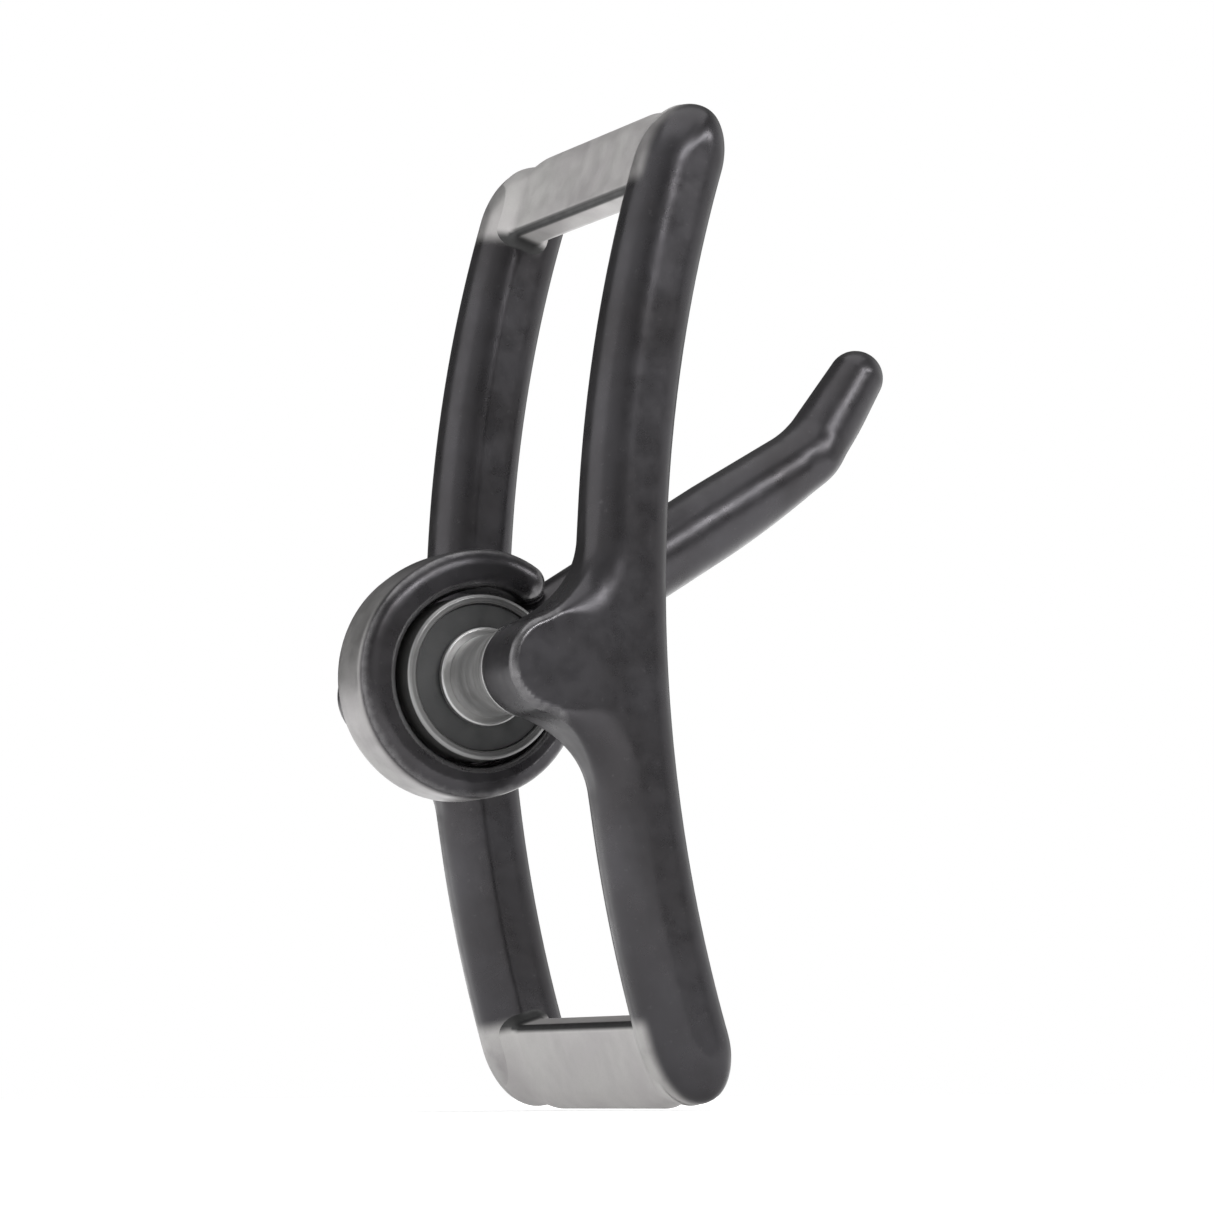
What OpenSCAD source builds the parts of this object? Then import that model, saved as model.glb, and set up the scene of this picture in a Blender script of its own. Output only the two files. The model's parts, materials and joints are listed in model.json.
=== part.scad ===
// Bowed twin-bar horn frame with a swinging hook arm.
// Two curved side bars are joined by two end plates. A cross shaft, held in a lug on each bar,
// carries a bushed hub, and the curled eye of the hook arm turns on it.
// X runs across the frame, from the left bar to the right bar.
// Y runs from the hollow side of the bow, where the arm reaches out, to its rounded side.
// Z runs up along the frame. The origin is the centre of the lower end plate's rounded-side face.

/* [Frame] */
// Height of the side bars, end to end
frame_h = 150; // [140:1:165]
// Distance between the centre lines of the two side bars
bar_spacing = 56; // [54:0.5:64]
// Radius of the bow, at the centre line of a side bar
bow_r = 225; // [200:5:260]
// Width of a side bar, across the frame
bar_w = 12.4; // [11:0.1:13]
// Depth of a side bar, through the bow
bar_d = 12.6; // [12:0.1:13]
// Corner radius of a side bar's section on the hollow side of the bow
bar_edge = 4.2; // [3:0.1:5]
// Corner radius of a side bar's section on the rounded side of the bow
bar_back = 5.8; // [4.2:0.1:5.9]

/* [End plates] */
// Thickness of an end plate
plate_t = 5; // [4:0.1:6]
// Height of the straight part of an end plate, below its rounded edge
plate_h = 7.2; // [6:0.1:9]
// How far an end plate's middle lies to the rounded side of the bar's centre line
plate_off = 1.2; // [0.5:0.1:1.5]
// Radius of an end plate's rounded outer edge
plate_edge = 7.4; // [6.6:0.05:7.6]
// Depth to which an end plate is let into each side bar
plate_seat = 0.9; // [0.6:0.1:0.9]
// Thickness of the tenon at each end of an end plate
tenon_t = 3; // [2:0.1:3.5]
// Height of the tenon
tenon_h = 8; // [6:0.1:9]
// Length of the tenon, into the side bar
tenon_l = 7; // [5:0.1:8]

/* [Lugs] */
// How far the cross shaft lies below the middle of the frame
pivot_drop = 10.8; // [6:0.1:14]
// How far the cross shaft lies behind the side bars' centre line
pivot_out = 13.1; // [12.4:0.1:13.6]
// Radius of the lug's nose
lug_r = 7.3; // [6.8:0.1:8]
// Radius of the hollow blend between a lug and its side bar
lug_blend = 14; // [10:0.5:18]
// Thickness of a lug
lug_t = 11.6; // [10:0.1:12]
// Depth of the blind bore in a lug
bore_depth = 8.6; // [7:0.1:9]

/* [Hub] */
// Radius of the cross shaft
shaft_r = 5; // [4.5:0.05:5.4]
// Outer radius of the inner sleeve on the cross shaft
sleeve_r = 6.4; // [6:0.05:6.8]
// Half the length of the inner sleeve
sleeve_half = 7.6; // [7.5:0.1:7.8]
// Running clearance between the inner sleeve and the liner, on the radius
running_gap = 0.05; // [0.02:0.01:0.09]
// Outer radius of the liner, and inner radius of the shell
liner_r = 11.2; // [10.8:0.1:11.4]
// Half the length of the liner
liner_half = 7.2; // [6.8:0.1:7.3]
// Outer radius of the shell, and bore radius of the arm's eye
shell_r = 12.6; // [12.4:0.05:12.8]
// Half the length of the shell
shell_half = 8; // [7.6:0.1:8.4]
// Outer radius of a thrust washer
washer_r = 7.5; // [7.2:0.1:8]
// Thickness of a thrust washer
washer_t = 1.2; // [0.8:0.1:1.6]
// Radius of a spacer at the washer
spacer_r = 6.2; // [5.8:0.1:6.6]
// Radius of a spacer at the lug
spacer_foot_r = 7; // [6.6:0.1:7.2]

/* [Hook arm] */
// Outer radius of the curled eye
eye_r = 19.2; // [17.4:0.1:19.6]
// Width of the curled eye, along the shaft
eye_w = 12.4; // [11:0.1:13]
// Angle of the eye's free end, measured from the rounded side of the bow over the top
eye_end_a = 112; // [100:1:114]
// Radius of the arm's round shank
arm_r = 6.15; // [5.6:0.05:6.4]
// Angle of the shank above the horizontal
arm_tilt = 32; // [20:1:45]
// Distance from the shaft to the bend in the arm
arm_reach = 70.5; // [60:0.5:74]
// Radius of the shank at the bend
neck_r = 5.6; // [5:0.05:6]
// Length over which the shank narrows towards the bend
neck_l = 20; // [10:1:30]
// How much the finger turns up from the shank
finger_bend = 25; // [10:1:35]
// Length of the finger, from the bend to the middle of its round tip
finger_l = 16; // [12:0.5:20]
// Radius of the finger at the bend
finger_r = 5.5; // [5:0.05:5.55]
// Radius of the finger's round tip
tip_r = 4.4; // [3.5:0.05:4.8]
// Radius of the hollow blend under the shank, where it meets the eye
arm_blend = 9; // [6:0.5:12]

/* [Hidden] */
$fn = 96;

dark_metal = [0.23, 0.23, 0.25];
pale_metal = [0.66, 0.64, 0.62];
shaft_metal = [0.58, 0.58, 0.60];
liner_black = [0.13, 0.13, 0.14];

// Half the bow's angle, up to the middle of a bar's round end
end_a = asin((frame_h / 2 - bar_d / 2) / bow_r);
// Where an end plate ends, from the middle of the part
plate_end = bar_spacing / 2 - bar_w / 2 + plate_seat;
// A side bar is drawn a little past its round end, and cut back to it
arc_a = end_a + 2;
// Radius of the round end, a little over half the bar's depth
end_round = bar_d / 2 + 0.3;
// The rounded-side face of an end plate, from the middle of the bow's circle
face_r = bow_r + plate_off + plate_t / 2;
// The flat face ends where the plate's rounded outer edge meets it
face_top = sqrt(pow(plate_edge, 2) - pow(plate_off + plate_t / 2, 2));
// The middle of that face lies a little inside the middle of the bar's round end
face_step = (plate_h - face_top) / 2;
face_a = end_a - atan(face_step / face_r);
// The middle of the bow's circle, in the part's frame
bow_y = -face_r * cos(face_a);
bow_z = face_r * sin(face_a);
// The cross shaft, seen from the middle of the bow's circle
pivot_a = -asin(pivot_drop / (bow_r + pivot_out));
pivot_r = bow_r + pivot_out;
// The cross shaft in the part's frame
pivot_y = bow_y + pivot_r * cos(pivot_a);
pivot_z = bow_z + pivot_r * sin(pivot_a);
// Inner face of a lug, and floor of its blind bore, from the middle of the part
lug_in = bar_spacing / 2 - lug_t / 2;
bore_floor = lug_in + bore_depth;
// The washers start where the inner sleeve ends
washer_end = sleeve_half + washer_t;
// Small chamfer on turned edges
edge_cut = 0.8;
// A cut that passes cleanly through a face
over = 1;
// Middle radius and half thickness of the eye's wall
eye_mid = (eye_r + shell_r) / 2;
eye_half = (eye_r - shell_r) / 2;
// How far the hollow blend under the shank sinks into the surfaces that it joins
blend_sink = 0.5;
// Angle of the shank about the shaft, measured as eye_end_a is
shank_a = 180 - arm_tilt;

// A shape drawn in the XY plane stands in the frame's YZ plane, and its Z runs along X
module about_x() {
    rotate(a = 120, v = [1, 1, 1]) children();
}

// A side bar's section, flatter on the hollow side and rounder on the other
module bar_section() {
    intersection() {
        round_rect(bar_d, bar_w, bar_edge);
        translate([-bar_d, -bar_w]) square([bar_d + 0.1, 2 * bar_w]);
    }
    intersection() {
        round_rect(bar_d, bar_w, bar_back);
        translate([-0.1, -bar_w]) square([bar_d, 2 * bar_w]);
    }
}

// Puts the middle of the bow's circle in its place
module at_bow() {
    translate([0, bow_y, bow_z]) about_x() children();
}

// Puts a turned piece on the cross shaft
module at_pivot() {
    translate([0, pivot_y, pivot_z]) about_x() children();
}

// A rectangle with round corners, centred
module round_rect(w, h, r) {
    square([w - 2 * r, h], center = true);
    square([w, h - 2 * r], center = true);
    for (sx = [-1, 1], sy = [-1, 1])
        translate([sx * (w / 2 - r), sy * (h / 2 - r)]) circle(r = r);
}

// A turned ring on the shaft, from x0 to x1, with both outer edges cut
module turned_ring(r_in, r_out, x0, x1, cut = 0.3) {
    rotate_extrude()
        polygon([[r_in, x0], [r_out - cut, x0], [r_out, x0 + cut],
                 [r_out, x1 - cut], [r_out - cut, x1], [r_in, x1]]);
}

// What is cut away past the end of a side bar, to leave it round as seen along X
module past_the_end(up) {
    translate([0, 0, -bar_w]) linear_extrude(2 * bar_w)
        difference() {
            translate([-bar_d, up > 0 ? 0 : -2 * bar_d]) square([2 * bar_d, 2 * bar_d]);
            translate([0, up * (bar_d / 2 - end_round)]) circle(r = end_round);
        }
}

// Outline of a lug: a round nose on the shaft's axis, with a hollow blend to the bar each side.
// It is drawn about the shaft, with X pointing straight out of the bar.
module lug_outline() {
    blend_r = bow_r + bar_d / 2 + lug_blend;
    reach = lug_r + lug_blend;
    blend_a = acos((pivot_r * pivot_r + blend_r * blend_r - reach * reach)
                   / (2 * pivot_r * blend_r));
    blend_x = blend_r * cos(blend_a) - pivot_r;
    blend_y = blend_r * sin(blend_a);
    circle(r = lug_r);
    difference() {
        polygon([[0, 0], [blend_x, blend_y], [-pivot_out, blend_y],
                 [-pivot_out, -blend_y], [blend_x, -blend_y]]);
        for (s = [-1, 1]) translate([blend_x, s * blend_y]) circle(r = lug_blend);
    }
}

// Section of an end plate, and of its seat in a side bar. Its outer edge is round.
module plate_section(up) {
    intersection() {
        translate([plate_off - plate_t / 2, up > 0 ? -plate_h : -plate_edge])
            square([plate_t, plate_h + plate_edge]);
        union() {
            circle(r = plate_edge);
            translate([-plate_edge, up > 0 ? -plate_h : 0]) square([2 * plate_edge, plate_h]);
        }
    }
}

// The tenon of an end plate, and the pocket it sits in
module tenon(side) {
    translate([bow_r + plate_off, 0, side * (bar_spacing / 2 - bar_w / 2 + tenon_l / 2)])
        cube([tenon_t, tenon_h, tenon_l], center = true);
}

// Everything that belongs to the upper or the lower end turns to that end of the bow
module at_end(up) {
    at_bow() rotate([0, 0, up * end_a]) children();
}

module side_bar(side) {
    bar_x = side * bar_spacing / 2;
    difference() {
        union() {
            at_bow() translate([0, 0, bar_x]) rotate([0, 0, -arc_a])
                rotate_extrude(angle = 2 * arc_a, $fn = 360)
                    translate([bow_r, 0]) bar_section();
            at_bow() rotate([0, 0, pivot_a]) translate([pivot_r, 0, bar_x - lug_t / 2])
                linear_extrude(lug_t) lug_outline();
        }
        at_pivot() translate([0, 0, side > 0 ? lug_in - over : -bore_floor])
            cylinder(r = shaft_r, h = bore_depth + over);
        for (up = [-1, 1]) at_end(up) {
            tenon(side);
            translate([bow_r, 0, side > 0 ? 0 : -plate_end])
                linear_extrude(plate_end) plate_section(up);
            translate([bow_r, 0, bar_x]) past_the_end(up);
        }
    }
}

module left_side_bar() {
    color(dark_metal) side_bar(-1);
}

module right_side_bar() {
    color(dark_metal) side_bar(1);
}

// An end plate lies between the bars, and is let a little into each of them
module end_plate(up) {
    at_end(up) {
        translate([bow_r, 0, -plate_end]) linear_extrude(2 * plate_end) plate_section(up);
        for (side = [-1, 1]) tenon(side);
    }
}

module upper_end_plate() {
    color(pale_metal) end_plate(1);
}

module lower_end_plate() {
    color(pale_metal) end_plate(-1);
}

// The shaft runs from one blind bore to the other, and its ends are cut to start the press
module cross_shaft() {
    color(shaft_metal) at_pivot()
        rotate_extrude()
            polygon([[0, -bore_floor], [shaft_r - edge_cut, -bore_floor],
                     [shaft_r, edge_cut - bore_floor], [shaft_r, bore_floor - edge_cut],
                     [shaft_r - edge_cut, bore_floor], [0, bore_floor]]);
}

module inner_sleeve() {
    color(shaft_metal) at_pivot()
        rotate_extrude()
            translate([shaft_r, -sleeve_half]) square([sleeve_r - shaft_r, 2 * sleeve_half]);
}

module left_thrust_washer() {
    color(shaft_metal) at_pivot() turned_ring(shaft_r, washer_r, -washer_end, -sleeve_half);
}

module right_thrust_washer() {
    color(shaft_metal) at_pivot() turned_ring(shaft_r, washer_r, sleeve_half, washer_end);
}

// A spacer is straight at the washer, and sweeps out to the lug
module spacer() {
    sweep = spacer_foot_r - spacer_r;
    rotate_extrude()
        difference() {
            translate([shaft_r, washer_end])
                square([spacer_foot_r - shaft_r, lug_in - washer_end]);
            translate([spacer_r, washer_end - over])
                square([sweep + over, lug_in - washer_end + over - sweep]);
            translate([spacer_r + sweep, lug_in - sweep]) circle(r = sweep);
        }
}

module left_spacer() {
    color(shaft_metal) at_pivot() mirror([0, 0, 1]) spacer();
}

module right_spacer() {
    color(shaft_metal) at_pivot() spacer();
}

// The hard outer ring of the bush, pressed into the arm's eye
module bush_shell() {
    color(shaft_metal) at_pivot() turned_ring(liner_r, shell_r, -shell_half, shell_half, edge_cut);
}

// The dark bearing ring of the bush, a little short of the shell
module bush_liner() {
    color(liner_black) at_pivot()
        rotate_extrude()
            translate([sleeve_r + running_gap, -liner_half])
                square([liner_r - sleeve_r - running_gap, 2 * liner_half]);
}

// Section of the eye's wall: rounder on the outside than in the bore
module eye_section() {
    intersection() {
        round_rect(2 * eye_half, eye_w, 2.4);
        square([2 * eye_half, eye_w], center = true);
    }
    translate([-eye_half, 1 - eye_w / 2]) square([eye_half, eye_w - 2]);
}

// The eye runs from its rounded free end over the top, round the back and under, to the shank
module eye() {
    rotate([0, 0, shank_a - 360])
        rotate_extrude(angle = 360 - shank_a + eye_end_a, $fn = 180)
            translate([eye_mid, 0]) eye_section();
    rotate([0, 0, eye_end_a]) translate([eye_mid, 0, 0])
        cylinder(r = eye_half - 0.1, h = eye_w - 2.4, center = true);
}

// The finger tapers to a round tip, and stands on the bend in the arm
module finger() {
    rotate([0, 90, 0]) rotate_extrude()
        intersection() {
            union() {
                polygon([[0, 0], [finger_r, 0], [tip_r, finger_l], [0, finger_l]]);
                translate([0, finger_l]) circle(r = tip_r);
            }
            square([2 * arm_r, finger_l + 2 * tip_r]);
        }
}

// The shank runs straight out from the eye and narrows to the bend, where the finger turns up
module shank() {
    shank_l = arm_reach - eye_mid;
    rotate([0, 0, shank_a]) {
        translate([eye_mid, 0, 0]) rotate([0, 90, 0]) rotate_extrude()
            intersection() {
                union() {
                    polygon([[0, 0], [arm_r, 0], [arm_r, shank_l - neck_l],
                             [neck_r, shank_l], [0, shank_l]]);
                    translate([0, shank_l]) circle(r = neck_r);
                }
                square([2 * arm_r, arm_reach]);
            }
        translate([arm_reach, 0, 0]) rotate([0, 0, -finger_bend]) finger();
    }
}

// The hollow blend that carries the underside of the shank into the eye.
// It starts and ends a little inside them, so that it crosses their surfaces cleanly.
module shank_blend() {
    blend_y = arm_r - blend_sink + arm_blend;
    blend_r = eye_r - blend_sink + arm_blend;
    blend_x = sqrt(blend_r * blend_r - blend_y * blend_y);
    rotate([0, 0, shank_a]) translate([0, 0, 1.6 - eye_w / 2]) linear_extrude(eye_w - 3.2)
        difference() {
            polygon([[eye_mid, 0], [blend_x, 0], [blend_x, blend_y],
                     [eye_mid * blend_x / blend_r, eye_mid * blend_y / blend_r]]);
            translate([blend_x, blend_y]) circle(r = arm_blend);
        }
}

module hook_arm() {
    color(dark_metal) at_pivot()
        difference() {
            union() {
                eye();
                shank();
                shank_blend();
            }
            cylinder(r = shell_r, h = 2 * eye_w, center = true);
        }
}

left_side_bar();
right_side_bar();
upper_end_plate();
lower_end_plate();
cross_shaft();
inner_sleeve();
left_thrust_washer();
right_thrust_washer();
left_spacer();
right_spacer();
bush_shell();
bush_liner();
hook_arm();
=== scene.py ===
import json
import math

import bpy
import numpy as np
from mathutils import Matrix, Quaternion, Vector


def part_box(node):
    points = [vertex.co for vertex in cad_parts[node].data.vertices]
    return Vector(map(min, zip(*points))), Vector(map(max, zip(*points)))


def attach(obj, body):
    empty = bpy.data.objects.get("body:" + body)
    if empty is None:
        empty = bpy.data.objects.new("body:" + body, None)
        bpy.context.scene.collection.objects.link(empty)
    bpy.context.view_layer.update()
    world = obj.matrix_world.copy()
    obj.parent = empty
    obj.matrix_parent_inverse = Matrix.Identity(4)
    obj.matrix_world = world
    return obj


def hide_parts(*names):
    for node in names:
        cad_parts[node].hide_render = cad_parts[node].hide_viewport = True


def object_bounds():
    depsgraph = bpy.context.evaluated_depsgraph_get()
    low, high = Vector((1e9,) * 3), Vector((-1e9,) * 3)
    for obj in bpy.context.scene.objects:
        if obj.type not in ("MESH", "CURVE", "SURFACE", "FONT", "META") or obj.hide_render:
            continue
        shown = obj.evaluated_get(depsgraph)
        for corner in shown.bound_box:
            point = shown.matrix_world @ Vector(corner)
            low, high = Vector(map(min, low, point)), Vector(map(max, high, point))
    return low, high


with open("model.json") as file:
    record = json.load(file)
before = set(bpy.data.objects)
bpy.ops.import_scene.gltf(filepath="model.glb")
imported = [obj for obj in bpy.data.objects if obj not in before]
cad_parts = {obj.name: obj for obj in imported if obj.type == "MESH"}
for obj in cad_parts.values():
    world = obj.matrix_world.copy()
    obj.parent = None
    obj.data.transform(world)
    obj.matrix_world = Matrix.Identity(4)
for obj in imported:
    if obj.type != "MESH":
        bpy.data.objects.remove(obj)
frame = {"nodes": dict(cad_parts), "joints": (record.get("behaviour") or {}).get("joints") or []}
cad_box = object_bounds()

# Smooth, blended meshes stand for the plain CAD solids. The bars, plates and arm come from
# distance fields, and the hub's rings are turned from rounded profiles. All keep the size and
# place of their CAD solids. Shapes are worked out in millimetres and built in metres.

MM = 0.001

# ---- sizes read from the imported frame, in millimetres ----


def span(name, axis):
    """Lowest and highest coordinate of a CAD node along an axis."""
    low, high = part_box(name)
    return low[axis] / MM, high[axis] / MM


def half_size(name, axis):
    low, high = span(name, axis)
    return (high - low) / 2


PIVOT = [c / MM for c in frame["joints"][0]["pos_m"]]
BAR_X = sum(span("right_side_bar", 0)) / 2
BAR_W = 2 * half_size("right_side_bar", 0)
BAR_INNER_X = BAR_X - BAR_W / 2
FRAME_H = 2 * half_size("right_side_bar", 2)
MID_Z = sum(span("right_side_bar", 2)) / 2
SHAFT_END = span("cross_shaft", 0)[1]
SHELL_R = half_size("bush_shell", 2)
SHAFT_R = half_size("cross_shaft", 2)

# ---- sizes that the boxes can't give, the same as in the CAD source ----

BAR_D = 12.6
BAR_EDGE = 4.2
BAR_BACK = 5.8
BOW_R = 225
PIVOT_OUT = 13.1
LUG_R = 7.3
LUG_BLEND = 14
LUG_T = 11.6
LUG_EDGE = 1.3
PLATE_T = 5
PLATE_OFF = 1.2
PLATE_IN = 7.2
PLATE_OUT = 7.4
SPACER_NECK_R = 6.2
LINER_GAP = 0.05
EYE_R = 19.2
EYE_W = 12.4
ARM_R = 6.15
ARM_REACH = 70.5
NECK_R = 5.6
NECK_L = 20
FINGER_L = 16
FINGER_R = 5.5
TIP_R = 4.4
SHANK_A = math.radians(148)
BEND_A = math.radians(25)

# ---- sizes of the softer forms that only the visual model has ----

# how far a bar's end stands past the CAD's round end, and how early it starts to fall away
# on the hollow and on the rounded side of the bow
END_OVER = 0.4
END_BACK = 2.4
END_FRONT = 4.2
# roll of an end plate's outer edge, and how far that edge falls over a bar
PLATE_ROLL = 4.2
PLATE_FALL = 1.8
# an end plate's other edges: face to window, and back to outside and to window
PLATE_FACE_EDGE = 1.3
PLATE_BACK_EDGE = 1.2
PLATE_WINDOW_EDGE = 1.0
# blend of a plate into a bar, its reach, and how far the plate's metal stays inside the bar
PLATE_BLEND = 2.6
PLATE_BLEND_REACH = 2.2
PLATE_SUNK = 0.15
# how much the eye's wall thins, how far its free end lifts, and where that end is
EYE_THIN = 0.65
EYE_LIFT = 1.9
FREE_A = math.radians(121)
# corners of the eye, of the arm's flat cheeks and of the bore
EYE_EDGE = 2.9
EYE_BORE_EDGE = 1.5
CHEEK_EDGE = 1.6
BORE_EDGE = 0.9
# groove round the bush shell
GROOVE_W = 0.9
# blends where the arm meets its eye, underneath and above, and where it meets its finger
ARM_BLEND = 9
ARM_TOP_BLEND = 0.3
FINGER_BLEND = 1.2
# how far out the underside of the bend reaches, and the rounding of that cut
ELBOW_REACH = 4.8
ELBOW_BLEND = 3

END_A = math.asin((FRAME_H / 2 - BAR_D / 2) / BOW_R)
PIVOT_BOW_R = BOW_R + PIVOT_OUT
PIVOT_A = math.asin((PIVOT[2] - MID_Z) / PIVOT_BOW_R)
BOW_Y = PIVOT[1] - PIVOT_BOW_R * math.cos(PIVOT_A)

# ---- distance fields: below zero inside, above zero outside ----


def smooth_step(value, start, end):
    share = np.clip((value - start) / (end - start), 0, 1)
    return share * share * (3 - 2 * share)


def mix(a, b, share):
    return a + (b - a) * share


def smooth_union(a, b, k):
    share = np.clip(0.5 + 0.5 * (b - a) / k, 0, 1)
    return mix(b, a, share) - k * share * (1 - share)


def smooth_cut(a, b, k):
    """a without b, with the new edge rounded by about k."""
    return -smooth_union(-a, b, k)


def corner(u, v, r):
    """Where u < 0 and v < 0 meet, with a corner of radius r."""
    u = u + r
    v = v + r
    return np.minimum(np.maximum(u, v), 0) + np.hypot(np.maximum(u, 0), np.maximum(v, 0)) - r


def from_bow(p):
    """Radius from the bow's centre and angle above its middle, for each point."""
    y = p[:, 1] - BOW_Y
    z = p[:, 2] - MID_Z
    return np.hypot(y, z), np.arctan2(z, y)


def bar_outline(rho, angle):
    """The bar as seen along X: a band along the bow, with oval ends that stand on a shaft.

    The ends fall away sooner on the rounded side of the bow than on its hollow side.
    """
    half = BAR_D / 2
    turn = np.abs(angle) - END_A
    across = rho - BOW_R
    start = mix(END_BACK, END_FRONT, smooth_step(across, -1, 1))
    along = np.maximum(rho * np.sin(turn) + start, 0) / (start + half + END_OVER)
    oval = (np.hypot(across / half, along) - 1) * half
    return np.where(along > 0, oval, np.abs(across) - half)


def lug_outline(rho, angle, bar):
    """The bar's outline with the lug's round nose, and a hollow blend on each side of it."""
    out = rho * np.cos(angle - PIVOT_A) - PIVOT_BOW_R
    side = np.abs(rho * np.sin(angle - PIVOT_A))
    blend_r = BOW_R + BAR_D / 2 + LUG_BLEND
    reach = LUG_R + LUG_BLEND
    cosine = (PIVOT_BOW_R**2 + blend_r**2 - reach**2) / (2 * PIVOT_BOW_R * blend_r)
    blend_out = blend_r * cosine - PIVOT_BOW_R
    blend_side = blend_r * math.sqrt(1 - cosine**2)
    below_nose = side * blend_out - out * blend_side > 0
    before_foot = side * (blend_out + PIVOT_BOW_R) - (out + PIVOT_BOW_R) * blend_side < 0
    hollow = LUG_BLEND - np.hypot(out - blend_out, side - blend_side)
    hollow = np.maximum(hollow, BOW_R - BAR_D / 2 - rho)
    nose = np.hypot(out, side) - LUG_R
    return np.where(below_nose & before_foot, hollow, np.minimum(nose, bar))


def bar_field(p):
    """The right side bar with its lug. The bar's corners are soft, and the lug's are tight."""
    rho, angle = from_bow(p)
    outline = lug_outline(rho, angle, bar_outline(rho, angle))
    # 0 on the bar and 1 on the lug, which starts in the bar's rounded side near the pivot
    side = np.abs(rho * np.sin(angle - PIVOT_A))
    lug = smooth_step(rho, BOW_R + 4, BOW_R + 13) * (1 - smooth_step(side, 12, 24))
    back = mix(BAR_EDGE, BAR_BACK, smooth_step(rho, BOW_R - 3, BOW_R + 3))
    edge = mix(back, LUG_EDGE, lug)
    half = mix(BAR_W / 2, LUG_T / 2, lug)
    solid = corner(outline, np.abs(p[:, 0] - BAR_X) - half, edge)
    bore = np.hypot(p[:, 1] - PIVOT[1], p[:, 2] - PIVOT[2]) - SHAFT_R
    bore = np.maximum(bore, p[:, 0] - SHAFT_END)
    return np.maximum(solid, -bore)


def plate_field(up):
    """An end plate. Its outer edge rolls over, and a hollow blend runs into each side bar."""

    def field(p):
        rho, angle = from_bow(p)
        turn = up * angle - END_A
        x = np.abs(p[:, 0])
        out = rho * np.cos(turn) - BOW_R - PLATE_OFF
        along = rho * np.sin(turn)
        face = out - PLATE_T / 2
        back = -out - PLATE_T / 2
        outer = along - PLATE_OUT + PLATE_FALL * smooth_step(x, BAR_INNER_X - 4, BAR_X)
        inner = -along - PLATE_IN
        front = np.maximum(corner(face, outer, PLATE_ROLL), corner(face, inner, PLATE_FACE_EDGE))
        behind = corner(back, outer, PLATE_BACK_EDGE)
        behind = np.maximum(behind, corner(back, inner, PLATE_WINDOW_EDGE))
        plate = np.maximum(np.maximum(front, behind), x - BAR_X)
        bar = bar_field(np.stack([x, p[:, 1], p[:, 2]], 1)) + PLATE_SUNK
        joined = smooth_union(plate, bar, PLATE_BLEND)
        return np.maximum(joined, np.maximum(plate - PLATE_BLEND_REACH, x - BAR_X))

    return field


def eye_field(x, r, angle):
    """The curled eye. It lifts a little off the bush towards its round free end.

    Its wall is full at the top of the rounded side, and thinnest under the shank.
    """
    thinner = EYE_THIN * (1 - np.cos(angle - math.radians(25)))
    half = (EYE_R - SHELL_R - thinner) / 2
    lift = EYE_LIFT * smooth_step(angle, math.radians(50), FREE_A)
    past = np.clip(angle - FREE_A, 0, math.pi / 2)
    across = r * np.cos(past) - SHELL_R - half - lift
    tip = smooth_step(angle, math.radians(80), FREE_A)
    inner_edge = mix(EYE_BORE_EDGE, EYE_EDGE - 0.1, tip)
    edge = mix(inner_edge, EYE_EDGE, smooth_step(across, -1, 1))
    return corner(np.hypot(across, r * np.sin(past)) - half, np.abs(x) - EYE_W / 2, edge)


def finger_field(x, along, above):
    """The tapered finger that turns up from the bend."""
    u = (along - ARM_REACH) * math.cos(BEND_A) + above * math.sin(BEND_A)
    v = above * math.cos(BEND_A) - (along - ARM_REACH) * math.sin(BEND_A)
    on_axis = np.clip(u, 0, FINGER_L)
    radius = mix(FINGER_R, TIP_R, on_axis / FINGER_L)
    return np.sqrt((u - on_axis) ** 2 + v**2 + x**2) - radius


def arm_field(p):
    """The hook arm: a curled eye, a round shank, and a finger."""
    x = p[:, 0]
    y = p[:, 1] - PIVOT[1]
    z = p[:, 2] - PIVOT[2]
    r = np.hypot(y, z)
    angle = np.arctan2(z, y)
    angle = np.where(angle > SHANK_A, angle - 2 * math.pi, angle)
    along = y * math.cos(SHANK_A) + z * math.sin(SHANK_A)
    above = y * math.sin(SHANK_A) - z * math.cos(SHANK_A)
    on_axis = np.clip(along, (SHELL_R + EYE_R) / 2, ARM_REACH)
    narrowing = np.clip((on_axis - ARM_REACH + NECK_L) / NECK_L, 0, 1)
    shank = np.sqrt((along - on_axis) ** 2 + above**2 + x**2) - mix(ARM_R, NECK_R, narrowing)
    rod = smooth_union(shank, finger_field(x, along, above), FINGER_BLEND)
    beyond = (along - ARM_REACH) * math.sin(BEND_A / 2) - above * math.cos(BEND_A / 2)
    rod = smooth_cut(rod, ELBOW_REACH - beyond, ELBOW_BLEND)
    blend = mix(ARM_TOP_BLEND, ARM_BLEND, smooth_step(-above, 0, 6))
    arm = smooth_union(eye_field(x, r, angle), rod, blend)
    cheek = np.abs(x) - EYE_W / 2
    arm = mix(corner(arm, cheek, CHEEK_EDGE), arm, smooth_step(along, 24, 40))
    groove = GROOVE_W * smooth_step(np.abs(x), EYE_W / 2 - 3.2, EYE_W / 2 - 2.4)
    return smooth_cut(arm, r - SHELL_R - groove, BORE_EDGE)


# ---- meshes from fields ----


def part(values, start, size):
    """A block of a grid's values."""
    return values[start[0]:start[0] + size[0], start[1]:start[1] + size[1],
                  start[2]:start[2] + size[2]]


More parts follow.
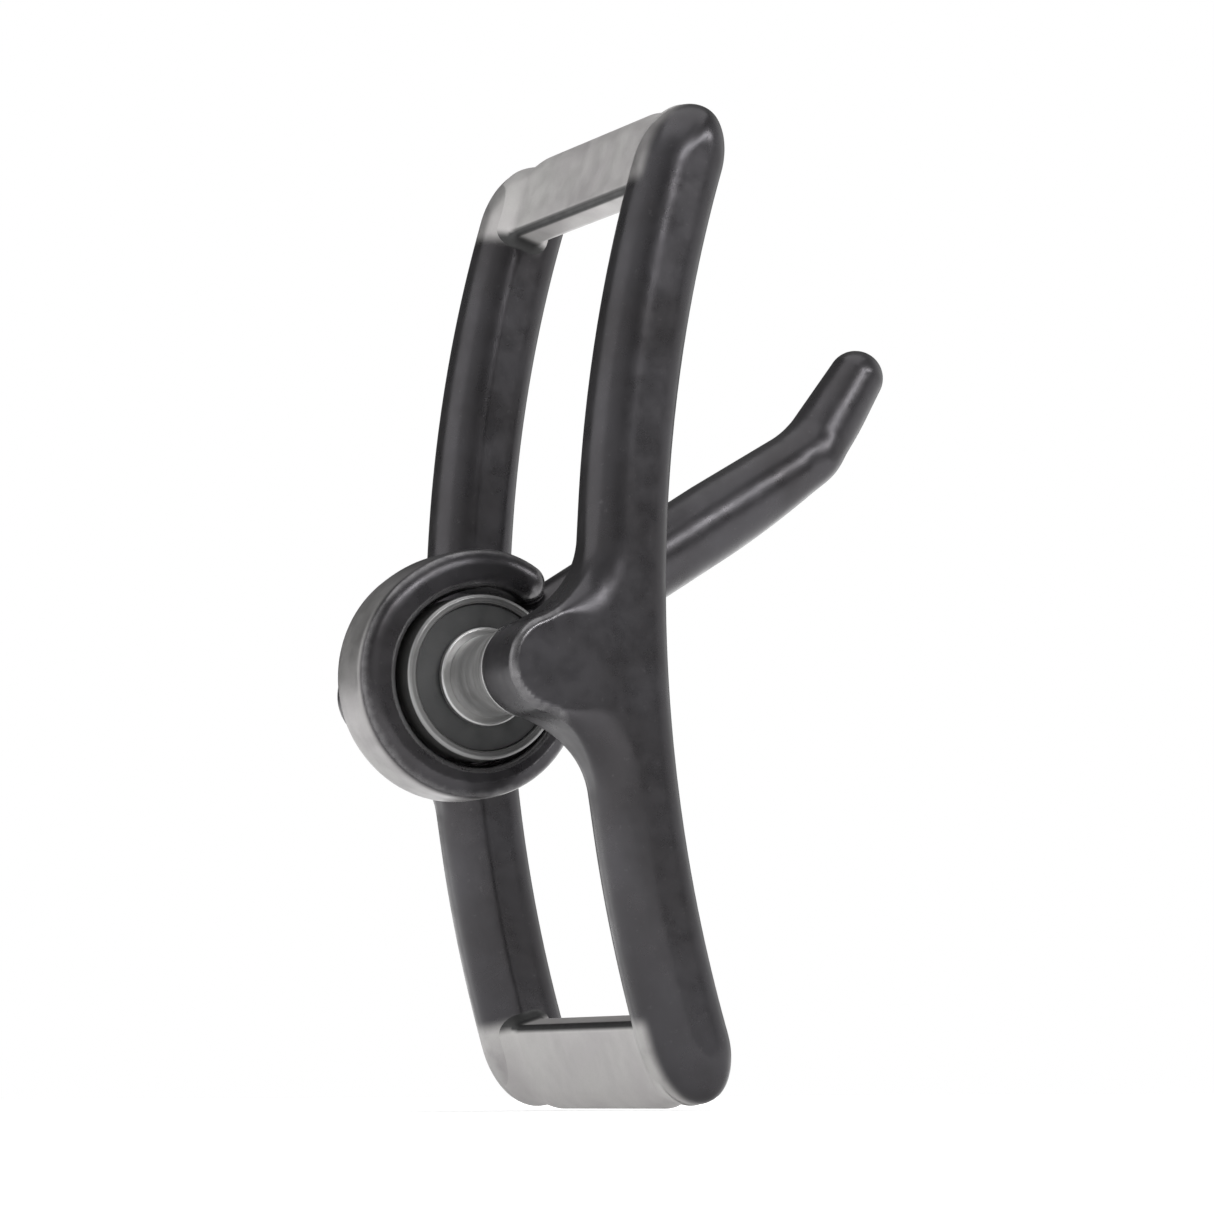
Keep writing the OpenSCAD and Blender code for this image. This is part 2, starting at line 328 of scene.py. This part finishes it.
def surface_net(field, low, high, cell):
    """Quads round a field's zero surface in a box: one corner in each cell that it crosses."""
    axes = [np.arange(a, b + cell, cell) for a, b in zip(low, high)]
    points = np.stack(np.meshgrid(*axes, indexing="ij"), -1)
    values = field(points.reshape(-1, 3)).reshape(points.shape[:3])
    size = [n - 1 for n in values.shape]
    total = np.zeros(size + [3])
    hits = np.zeros(size)
    for axis in range(3):
        for u in (0, 1):
            for v in (0, 1):
                start = np.insert([u, v], axis, 0)
                end = np.insert([u, v], axis, 1)
                a = part(values, start, size)
                b = part(values, end, size)
                crossed = (a < 0) != (b < 0)
                spot = np.tile(start.astype(float), (int(crossed.sum()), 1))
                spot[:, axis] = a[crossed] / (a[crossed] - b[crossed])
                total[crossed] += spot
                hits[crossed] += 1
    cells = hits > 0
    index = np.full(size, -1)
    index[cells] = np.arange(int(cells.sum()))
    corners = np.array(np.nonzero(cells)).T + total[cells] / hits[cells][:, None]
    corners = np.array([a[0] for a in axes]) + corners * cell
    return corners, net_quads(values < 0, index)


def net_quads(inside, index):
    """Joins the four cells round each grid edge that the surface crosses."""
    quads = []
    for axis in range(3):
        ahead = np.roll(inside, -1, axis)
        crossed = inside != ahead
        crossed[tuple(-1 if a == axis else slice(None) for a in range(3))] = False
        where = np.array(np.nonzero(crossed)).T
        u, v = np.eye(3, dtype=int)[[(axis + 1) % 3, (axis + 2) % 3]]
        ring = [where - u - v, where - v, where, where - u]
        quad = np.stack([index[tuple(c.T)] for c in ring], 1)
        turned = ~inside[tuple(where.T)]
        quad[turned] = quad[turned][:, ::-1]
        quads.append(quad)
    return np.concatenate(quads)


def gradient(field, p, step=0.02):
    sides = []
    for axis in range(3):
        shift = np.zeros(3)
        shift[axis] = step
        sides.append(field(p + shift) - field(p - shift))
    return np.stack(sides, 1) / (2 * step)


def unit(vectors):
    return vectors / np.maximum(np.linalg.norm(vectors, axis=1), 1e-9)[:, None]


def settle(field, p, quads, rounds=6):
    """Evens out a net's corners along the surface, and puts them exactly on it."""
    edges = np.concatenate([quads[:, [i, (i + 1) % 4]] for i in range(4)])
    count = np.bincount(edges[:, 0], minlength=len(p))
    for _ in range(rounds):
        mean = np.stack([np.bincount(edges[:, 0], p[edges[:, 1], a], len(p)) for a in range(3)], 1)
        pull = mean / count[:, None] - p
        normal = unit(gradient(field, p))
        p = p + 0.6 * (pull - normal * (pull * normal).sum(1)[:, None])
        for _ in range(2):
            slope = gradient(field, p)
            p = p - slope * (field(p) / np.maximum((slope**2).sum(1), 0.2))[:, None]
    return p


def bulge(field, p, step=0.35):
    """How sharply the surface turns outwards at each point, per millimetre."""
    total = -6 * field(p)
    for axis in range(3):
        for side in (-step, step):
            shift = np.zeros(3)
            shift[axis] = side
            total += field(p + shift)
    return total / step**2


def new_object(name, p, faces, normals, wear, finish_and_painted_light=None):
    """A smooth mesh from points in millimetres, with its own normals.

    Its wear values, and the values that carry finishes, painted highlights and painted shade, are
    stored at its corners, where the materials read them.
    """
    mesh = bpy.data.meshes.new(name)
    mesh.from_pydata((p * MM).tolist(), [], faces.tolist())
    mesh.validate()
    mesh.polygons.foreach_set("use_smooth", np.ones(len(mesh.polygons), bool))
    finish_and_painted_light = np.zeros(len(p)) if finish_and_painted_light is None else finish_and_painted_light
    for key, values in (("wear", wear), ("finish_and_painted_light", finish_and_painted_light)):
        attribute = mesh.attributes.new(key, "FLOAT", "POINT")
        attribute.data.foreach_set("value", values.astype(np.float32))
    mesh.normals_split_custom_set_from_vertices(normals.tolist())
    made = bpy.data.objects.new(name, mesh)
    bpy.context.scene.collection.objects.link(made)
    return made


def field_mesh(field, node, cell, margin=1.5):
    """Corners, quads, normals and wear of the field's surface, near where a CAD node lies."""
    low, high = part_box(node)
    low = [c / MM - margin for c in low]
    high = [c / MM + margin for c in high]
    p, quads = surface_net(field, low, high, cell)
    p = settle(field, p, quads)
    return p, quads, unit(gradient(field, p)), np.clip(bulge(field, p), -1, 2)


# ---- turned rings ----

# quads round a ring
SEGMENTS = 144


def rounded_profile(points, steps=5):
    """A closed profile with rounded corners. Points are (radius, x, corner radius)."""
    spots = []
    normals = []
    count = len(points)
    for i, (r, x, edge) in enumerate(points):
        here = np.array([r, x], float)
        before = np.array(points[i - 1][:2], float) - here
        after = np.array(points[(i + 1) % count][:2], float) - here
        before /= np.linalg.norm(before)
        after /= np.linalg.norm(after)
        half = math.acos(max(-1, min(1, before @ after))) / 2
        middle = (before + after) / max(np.linalg.norm(before + after), 1e-9)
        centre = here + middle * edge / math.sin(half)
        first = here + before * edge / math.tan(half) - centre
        last = here + after * edge / math.tan(half) - centre
        turn = math.atan2(first[0] * last[1] - first[1] * last[0], first @ last)
        outward = 1 if before[0] * after[1] - before[1] * after[0] < 0 else -1
        for step in range(steps + 1):
            a = turn * step / steps
            spoke = np.array([first[0] * math.cos(a) - first[1] * math.sin(a),
                              first[0] * math.sin(a) + first[1] * math.cos(a)])
            spots.append(centre + spoke)
            normals.append(outward * spoke / max(np.linalg.norm(spoke), 1e-9))
    return np.array(spots), np.array(normals)


def turned(name, points, side=1):
    """A ring about the shaft, mirrored to the left for side -1.

    Points go round the profile with the metal on their left.
    """
    spots, normals = rounded_profile(points)
    count = len(spots)
    angles = np.arange(SEGMENTS) * 2 * math.pi / SEGMENTS
    wide = np.stack([np.zeros(SEGMENTS), np.cos(angles), np.sin(angles)], 1)
    along = np.array([side, 0, 0])
    p = spots[None, :, :1] * wide[:, None] + spots[None, :, 1:] * along + np.array([0, *PIVOT[1:]])
    n = normals[None, :, :1] * wide[:, None] + normals[None, :, 1:] * along
    i, j = np.meshgrid(np.arange(SEGMENTS), np.arange(count), indexing="ij")
    i2 = (i + 1) % SEGMENTS
    j2 = (j + 1) % count
    quads = np.stack([i * count + j, i * count + j2, i2 * count + j2, i2 * count + j], -1)
    quads = quads.reshape(-1, 4)
    if side > 0:
        quads = quads[:, ::-1]
    wear = np.tile(np.abs(normals[:, 0] * normals[:, 1]) * 2, SEGMENTS)
    return new_object(name, p.reshape(-1, 3), quads, n.reshape(-1, 3), wear)


# ---- materials: all from nodes, on the object's own coordinates ----


def add(tree, kind, inputs=None, **settings):
    """A new node with its settings, and its inputs set to values or linked to sockets."""
    made = tree.nodes.new(kind)
    for key, value in settings.items():
        setattr(made, key, value)
    for key, value in (inputs or {}).items():
        if isinstance(value, bpy.types.NodeSocket):
            tree.links.new(value, made.inputs[key])
        else:
            made.inputs[key].default_value = value
    return made


def noise(tree, where, scale, detail=4, rough=0.55):
    """Noise from 0 to 1. A scale of 1000 gives spots of about a millimetre."""
    made = add(tree, "ShaderNodeTexNoise",
               {"Vector": where, "Scale": scale, "Detail": detail, "Roughness": rough})
    return made.outputs["Fac"]


def scaled(tree, value, low, high, to_low, to_high):
    """Maps low..high smoothly to to_low..to_high, and holds it beyond them."""
    made = add(tree, "ShaderNodeMapRange",
               {"Value": value, "From Min": low, "From Max": high,
                "To Min": to_low, "To Max": to_high}, interpolation_type="SMOOTHSTEP")
    return made.outputs["Result"]


def blended(tree, share, a, b):
    """Colour a where share is 0, and b where it is 1."""
    made = add(tree, "ShaderNodeMix", data_type="RGBA")
    for index, value in ((0, share), (6, a), (7, b)):
        if isinstance(value, bpy.types.NodeSocket):
            tree.links.new(value, made.inputs[index])
        else:
            made.inputs[index].default_value = value
    return made.outputs[2]


def calc(tree, operation, a, b=0.0):
    return add(tree, "ShaderNodeMath", {0: a, 1: b}, operation=operation).outputs[0]


def colour(level, warm=0.0, pink=0.0):
    """A grey, a little warm or cool, and a little pink."""
    return (level * (1 + warm + pink), level * (1 - pink), level * (1 - warm + pink), 1)


def stored(tree, name):
    """A value that new_object stored at the mesh's corners."""
    return add(tree, "ShaderNodeAttribute", attribute_name=name).outputs["Fac"]


def new_material(name, metallic):
    material = bpy.data.materials.new(name)
    material.use_nodes = True
    tree = material.node_tree
    shader = tree.nodes["Principled BSDF"]
    shader.inputs["Metallic"].default_value = metallic
    where = add(tree, "ShaderNodeTexCoord").outputs["Object"]
    return material, tree, shader, where


def connect(tree, shader, base, rough, bumps):
    """Links a material's colour, roughness and its chain of bumps, (height, millimetres)."""
    tree.links.new(base, shader.inputs["Base Color"])
    tree.links.new(rough, shader.inputs["Roughness"])
    normal = None
    for height, depth in bumps:
        bump = add(tree, "ShaderNodeBump", {"Height": height, "Distance": depth * MM})
        if normal:
            tree.links.new(normal, bump.inputs["Normal"])
        normal = bump.outputs["Normal"]
    tree.links.new(normal, shader.inputs["Normal"])


def wear_mask(tree, where, low, high):
    """1 on tight outside edges, broken up by noise."""
    bent = stored(tree, "wear")
    rough = calc(tree, "MULTIPLY", calc(tree, "SUBTRACT", noise(tree, where, 700), 0.5), 0.5)
    return scaled(tree, calc(tree, "ADD", bent, rough), low, high, 0, 1)


def pale_finish(tree, where):
    """The end plates' satin finish: colour with a faint drift, and its grain."""
    drift = scaled(tree, noise(tree, where, 90, 3), 0.3, 0.7, 0, 1)
    base = blended(tree, drift, colour(0.38, 0.02, 0.01), colour(0.43, 0.02))
    grain = noise(tree, where, 3200, 3, 0.7)
    return blended(tree, scaled(tree, grain, 0.45, 0.8, 0, 0.3), base, colour(0.32, 0.02)), grain


def dark_metal():
    """Smooth dark gunmetal, faintly mottled, with fine grain, rubbed edges, pale ends, and a pale
    highlight painted on the outside of the arm's eye.
    """
    material, tree, shader, where = new_material("dark_gunmetal", 0.8)
    clouds = scaled(tree, noise(tree, where, 70, 3), 0.3, 0.7, 0, 1)
    base = blended(tree, clouds, colour(0.036, 0, 0.03), colour(0.049, -0.02, 0.03))
    specks = scaled(tree, noise(tree, where, 900, 5, 0.7), 0.6, 0.75, 0, 0.3)
    base = blended(tree, specks, base, colour(0.11, 0, 0.02))
    worn = wear_mask(tree, where, 0.5, 1.15)
    base = blended(tree, calc(tree, "MULTIPLY", worn, 0.7), base, colour(0.2, 0, 0.01))
    # The stored mask gives the pale finish on the bars' ends, and on the arm a pale highlight
    # painted on the outside of the eye.
    patchy = scaled(tree, noise(tree, where, 300, 4), 0.2, 0.6, 0.68, 0.9)
    finish_and_painted_light = calc(tree, "MULTIPLY", stored(tree, "finish_and_painted_light"), patchy)
    base = blended(tree, finish_and_painted_light, base, pale_finish(tree, where)[0])
    grain = noise(tree, where, 2600, 3)
    rough = scaled(tree, noise(tree, where, 240, 4), 0.3, 0.7, 0.26, 0.35)
    rough = calc(tree, "SUBTRACT", rough, calc(tree, "MULTIPLY", worn, 0.06))
    rough = calc(tree, "ADD", rough, calc(tree, "MULTIPLY", finish_and_painted_light, 0.12))
    swell = noise(tree, where, 150, 2)
    connect(tree, shader, base, rough, [(swell, 0.11), (grain, 0.004)])
    return material


def pale_metal():
    """Pale satin plate, bead-blasted, with rubbed edges, dark where it meets the bars, and a dark
    line of painted shadow along the window.
    """
    material, tree, shader, where = new_material("pale_satin", 0.55)
    base, grain = pale_finish(tree, where)
    worn = wear_mask(tree, where, 0.3, 1.0)
    base = blended(tree, calc(tree, "MULTIPLY", worn, 0.3), base, colour(0.54, 0.01))
    # dark where the stored mask says: the plate's foot and outward sides, and a painted shadow line
    # along the window edge
    base = blended(tree, stored(tree, "finish_and_painted_light"), base, colour(0.03))
    rough = scaled(tree, noise(tree, where, 300, 4), 0.3, 0.7, 0.42, 0.55)
    connect(tree, shader, base, rough, [(noise(tree, where, 260, 2), 0.05), (grain, 0.012)])
    return material


def turned_metal(name, level, smoothness):
    """Light turned steel, with fine rings left by the tool."""
    material, tree, shader, where = new_material(name, 0.9)
    parts = add(tree, "ShaderNodeSeparateXYZ", {"Vector": where}).outputs
    y = calc(tree, "SUBTRACT", parts["Y"], PIVOT[1] * MM)
    z = calc(tree, "SUBTRACT", parts["Z"], PIVOT[2] * MM)
    radius = calc(tree, "SQRT", calc(tree, "ADD", calc(tree, "MULTIPLY", y, y),
                                     calc(tree, "MULTIPLY", z, z)))
    lathe = add(tree, "ShaderNodeCombineXYZ", {"X": parts["X"], "Y": radius}).outputs[0]
    rings = noise(tree, lathe, 3500, 2)
    broad = noise(tree, lathe, 600, 2)
    patches = noise(tree, where, 250, 3)
    base = blended(tree, broad, colour(level * 0.8), colour(level * 1.1, 0.01))
    base = blended(tree, scaled(tree, patches, 0.5, 0.75, 0, 0.35), base, colour(level * 0.6, 0.03))
    worn = wear_mask(tree, where, 0.3, 1.0)
    base = blended(tree, calc(tree, "MULTIPLY", worn, 0.4), base, colour(level * 1.35))
    rough = scaled(tree, rings, 0.3, 0.7, smoothness, smoothness + 0.14)
    connect(tree, shader, base, rough, [(rings, 0.006), (patches, 0.02)])
    return material


def liner_black():
    """Dark bearing liner, matt, with faint turning rings and rubbed patches."""
    material, tree, shader, where = new_material("liner_dark", 0.2)
    clouds = noise(tree, where, 420, 4)
    base = blended(tree, clouds, colour(0.028, -0.03), colour(0.06, 0.0))
    rough = scaled(tree, clouds, 0.3, 0.7, 0.42, 0.6)
    connect(tree, shader, base, rough, [(noise(tree, where, 1800, 3), 0.02)])
    return material


# ---- pieces ----


def place(made, material, node, body):
    """The new piece stands for a CAD node and moves with its body."""
    made.data.materials.clear()
    made.data.materials.append(material)
    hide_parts(node)
    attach(made, body)


def end_parts(p, normals):
    """How far outwards along the bow each point lies from its end, and its normal there."""
    rho, angle = from_bow(p)
    up = np.sign(angle)
    along = rho * np.sin(np.abs(angle) - END_A)
    out = normals[:, 1] * math.cos(END_A) + normals[:, 2] * math.sin(END_A) * up
    onward = -normals[:, 1] * math.sin(END_A) + normals[:, 2] * math.cos(END_A) * up
    return along, out, onward


def bar_coat(p, normals):
    """1 where the end plates' pale finish runs on over the ends of the bar."""
    along, out, _ = end_parts(p, normals)
    inner = 1 - smooth_step(normals[:, 0], 0.05, 0.5)
    return smooth_step(along, -9, -6.5) * smooth_step(out, -0.1, 0.3) * inner


def plate_dark_and_painted_shade(p, normals):
    """1 where a plate is dark: a painted shadow line along the window, its foot and its outward
    sides.
    """
    along, out, onward = end_parts(p, normals)
    # painted shadow: the plate's rounded edge towards the window, which is in shade
    line = smooth_step(-onward, 0.2, 0.45) * smooth_step(out, 0.08, 0.3)
    x = np.abs(p[:, 0])
    foot = smooth_step(x, BAR_INNER_X - 3, BAR_INNER_X - 1)
    foot = foot * (1 - smooth_step(along, -PLATE_IN - 0.3, -PLATE_IN + 1.2))
    outward = smooth_step(normals[:, 0] * np.sign(p[:, 0]), 0.02, 0.35)
    outward = outward * smooth_step(x, BAR_INNER_X, BAR_INNER_X + 2)
    return np.maximum(np.maximum(line, foot), outward)


def arm_painted_highlight(p, normals):
    """1 on the outside of the eye, round its back, where a pale highlight is painted."""
    y = p[:, 1] - PIVOT[1]
    z = p[:, 2] - PIVOT[2]
    r = np.hypot(y, z)
    angle = np.degrees(np.arctan2(z, y))
    facing = (normals[:, 1] * y + normals[:, 2] * z) / np.maximum(r, 1e-6)
    round_back = smooth_step(angle, -150, -110) * (1 - smooth_step(angle, 40, 80))
    # painted highlight: the pale band where the eye's outside faces the light
    return 0.66 * smooth_step(facing, 0.9, 0.995) * smooth_step(r, 16.5, 17.5) * round_back


def make_bars(material):
    """The right bar, and the left one as its mirror image."""
    p, quads, normals, wear = field_mesh(bar_field, "right_side_bar", 0.55)
    finish_and_painted_light = bar_coat(p, normals)
    flip = np.array([-1, 1, 1])
    right = new_object("right_bar", p, quads, normals, wear, finish_and_painted_light)
    left = new_object("left_bar", p * flip, quads[:, ::-1], normals * flip, wear, finish_and_painted_light)
    place(right, material, "right_side_bar", "frame")
    place(left, material, "left_side_bar", "frame")


def make_plates(material):
    for name, up in (("upper", 1), ("lower", -1)):
        node = name + "_end_plate"
        p, quads, normals, wear = field_mesh(plate_field(up), node, 0.42, 3)
        made = new_object(name + "_plate", p, quads, normals, wear, plate_dark_and_painted_shade(p, normals))
        place(made, material, node, "frame")


def make_arm(material):
    p, quads, normals, wear = field_mesh(arm_field, "hook_arm", 0.5, 2.5)
    made = new_object("hook", p, quads, normals, wear, arm_painted_highlight(p, normals))
    place(made, material, "hook_arm", "arm")


def make_bush(dark_steel, liner):
    """The shell and liner in the arm's eye."""
    shell_end = span("bush_shell", 0)[1]
    liner_end = span("bush_liner", 0)[1]
    liner_r = half_size("bush_liner", 2)
    sleeve_r = half_size("inner_sleeve", 2)
    shell = turned("shell_ring", [
        (liner_r, -shell_end, 0.35), (SHELL_R, -shell_end, 0.6),
        (SHELL_R, shell_end, 0.6), (liner_r, shell_end, 0.35)])
    place(shell, dark_steel, "bush_shell", "arm")
    ring = turned("liner_ring", [
        (sleeve_r + LINER_GAP, -liner_end, 0.3), (liner_r, -liner_end, 0.2),
        (liner_r, liner_end, 0.2), (sleeve_r + LINER_GAP, liner_end, 0.3)])
    place(ring, liner, "bush_liner", "arm")


def make_washers_and_spacers(steel):
    """On each side of the bush, a thrust washer and a spacer that flares to meet its lug."""
    washer_r = half_size("left_thrust_washer", 2)
    start, end = span("right_thrust_washer", 0)
    foot_end = span("right_spacer", 0)[1]
    foot_r = half_size("right_spacer", 2)
    for name, side in (("right", 1), ("left", -1)):
        washer = turned(name + "_washer", [
            (SHAFT_R, start, 0.1), (washer_r, start, 0.3),
            (washer_r, end, 0.4), (SHAFT_R, end, 0.1)], side)
        place(washer, steel, name + "_thrust_washer", "frame")
        spacer = turned(name + "_spacer_tube", [
            (SHAFT_R, end, 0.05), (SPACER_NECK_R, end, 0.2),
            (SPACER_NECK_R, foot_end - 5, 6), (foot_r, foot_end - 1.2, 1.5),
            (foot_r, foot_end, 0.1), (SHAFT_R, foot_end, 0.05)], side)
        place(spacer, steel, name + "_spacer", "frame")


# ---- stage ----

# where the camera looks, in metres, and its place: on the rounded side, a little low
AIM = Vector((0, -0.00434, 0.07097))
HEADING = math.radians(25.67)
PITCH = math.radians(5.82)
ROLL = math.radians(-0.277)
DISTANCE = 0.743
LENS = 142.2
# the floor's radius, in metres
FLOOR_R = 6
# name, place from AIM and size in metres, and power in watts: a soft light above, a strip that
# draws the highlight along the arm, and a soft light beside the object
LIGHTS = [
    ("top", (-0.1, 0.1, 0.9), (0.9, 0.9), 4),
    ("strip", (-0.9, -0.3, 0.5), (1.0, 0.12), 6.4),
    ("side", (0.35, 0.95, 0.15), (1.0, 1.0), 3),
]


def make_world():
    """A white background, and soft surroundings for reflections.

    They are bright behind the rounded side and beyond the hollow side, and dim elsewhere.
    """
    world = bpy.data.worlds.new("studio")
    world.use_nodes = True
    bpy.context.scene.world = world
    tree = world.node_tree
    towards = add(tree, "ShaderNodeTexCoord").outputs["Generated"]
    parts = add(tree, "ShaderNodeSeparateXYZ", {"Vector": towards}).outputs
    dim = scaled(tree, parts["X"], 0.2, 0.8, 0.21, 0.08)
    share = scaled(tree, parts["Y"], 0.4, 1.0, 0, 1)
    level = add(tree, "ShaderNodeMix", {0: share, 2: dim, 3: 1.0}).outputs[0]
    back_side = scaled(tree, parts["Y"], -0.6, -0.98, 0.0, 0.9)
    above = scaled(tree, parts["Z"], 0.25, 0.9, 0.0, 0.2)
    level = calc(tree, "ADD", calc(tree, "ADD", level, back_side), above)
    seen = add(tree, "ShaderNodeLightPath").outputs["Is Camera Ray"]
    strength = add(tree, "ShaderNodeMix", {0: seen, 2: level, 3: 1.0}).outputs[0]
    shader = tree.nodes["Background"]
    shader.inputs["Color"].default_value = (1, 1, 1, 1)
    tree.links.new(strength, shader.inputs["Strength"])


def floor_mesh(height, rings=24, count=96):
    """A wide flat disc in rings that widen outwards."""
    mesh = bpy.data.meshes.new("floor")
    points = [(0, 0, height)]
    for ring in range(1, rings + 1):
        radius = FLOOR_R * (ring / rings) ** 2
        for i in range(count):
            a = 2 * math.pi * i / count
            points.append((radius * math.cos(a), radius * math.sin(a), height))
    faces = [(0, 1 + i, 1 + (i + 1) % count) for i in range(count)]
    for ring in range(rings - 1):
        a = 1 + ring * count
        for i in range(count):
            k = (i + 1) % count
            faces.append((a + i, a + count + i, a + count + k, a + k))
    mesh.from_pydata(points, [], faces)
    return mesh


def floor_material():
    """Pale and matt, and whiter away from the object, where a painted glow grows stronger."""
    material, tree, shader, where = new_material("pale_floor", 0)
    base = blended(tree, noise(tree, where, 8, 3), colour(0.86), colour(0.9))
    rough = scaled(tree, noise(tree, where, 60, 3), 0.3, 0.7, 0.75, 0.9)
    connect(tree, shader, base, rough, [(noise(tree, where, 900, 3), 0.05)])
    away = add(tree, "ShaderNodeVectorMath", {0: where}, operation="LENGTH").outputs["Value"]
    # painted light: the floor glows, weakly near the object and fully far from it
    shader.inputs["Emission Color"].default_value = (1, 1, 1, 1)
    tree.links.new(scaled(tree, away, 0.03, 0.25, 0.35, 1.0), shader.inputs["Emission Strength"])
    # from below, the floor is clear, so that it never hides the object
    below = add(tree, "ShaderNodeNewGeometry").outputs["Backfacing"]
    clear = add(tree, "ShaderNodeBsdfTransparent").outputs[0]
    both = add(tree, "ShaderNodeMixShader", {0: below, 1: shader.outputs[0], 2: clear})
    tree.links.new(both.outputs[0], tree.nodes["Material Output"].inputs["Surface"])
    return material


def make_floor():
    """The floor lies just under the object."""
    floor = bpy.data.objects.new("floor", floor_mesh(cad_box[0].z))
    bpy.context.scene.collection.objects.link(floor)
    floor.data.materials.append(floor_material())


def make_light(name, spot, aim, size, power):
    """A soft rectangular light at spot, turned to aim."""
    data = bpy.data.lights.new(name, "AREA")
    data.shape = "RECTANGLE"
    data.size, data.size_y = size
    data.energy = power
    light = bpy.data.objects.new(name, data)
    light.location = spot
    light.rotation_mode = "QUATERNION"
    light.rotation_quaternion = (Vector(aim) - Vector(spot)).to_track_quat("-Z", "Y")
    bpy.context.scene.collection.objects.link(light)


def make_lights(middle):
    for name, offset, size, power in LIGHTS:
        make_light(name, middle + Vector(offset), middle, size, power)


def make_camera(middle):
    """Looks at the object from its rounded side, a little from below, with a long lens."""
    back = Vector((-math.cos(HEADING) * math.cos(PITCH), math.sin(HEADING) * math.cos(PITCH),
                   -math.sin(PITCH)))
    data = bpy.data.cameras.new("camera")
    data.lens = LENS
    data.sensor_width = 36
    data.clip_start = 0.01
    camera = bpy.data.objects.new("camera", data)
    camera.location = middle + back * DISTANCE
    camera.rotation_mode = "QUATERNION"
    roll = Quaternion((0, 0, 1), ROLL)
    camera.rotation_quaternion = (-back).to_track_quat("-Z", "Y") @ roll
    bpy.context.scene.collection.objects.link(camera)
    bpy.context.scene.camera = camera


def main():
    dark = dark_metal()
    steel = turned_metal("turned_steel", 0.36, 0.3)
    dark_steel = turned_metal("bush_steel", 0.2, 0.28)
    make_bars(dark)
    make_plates(pale_metal())
    make_arm(dark)
    make_bush(dark_steel, liner_black())
    make_washers_and_spacers(steel)
    for node in ("cross_shaft", "inner_sleeve"):
        frame["nodes"][node].data.materials.clear()
        frame["nodes"][node].data.materials.append(steel)
    make_camera(AIM)
    make_world()
    make_floor()
    make_lights(AIM)
    bpy.context.scene.view_settings.view_transform = "Standard"


main()
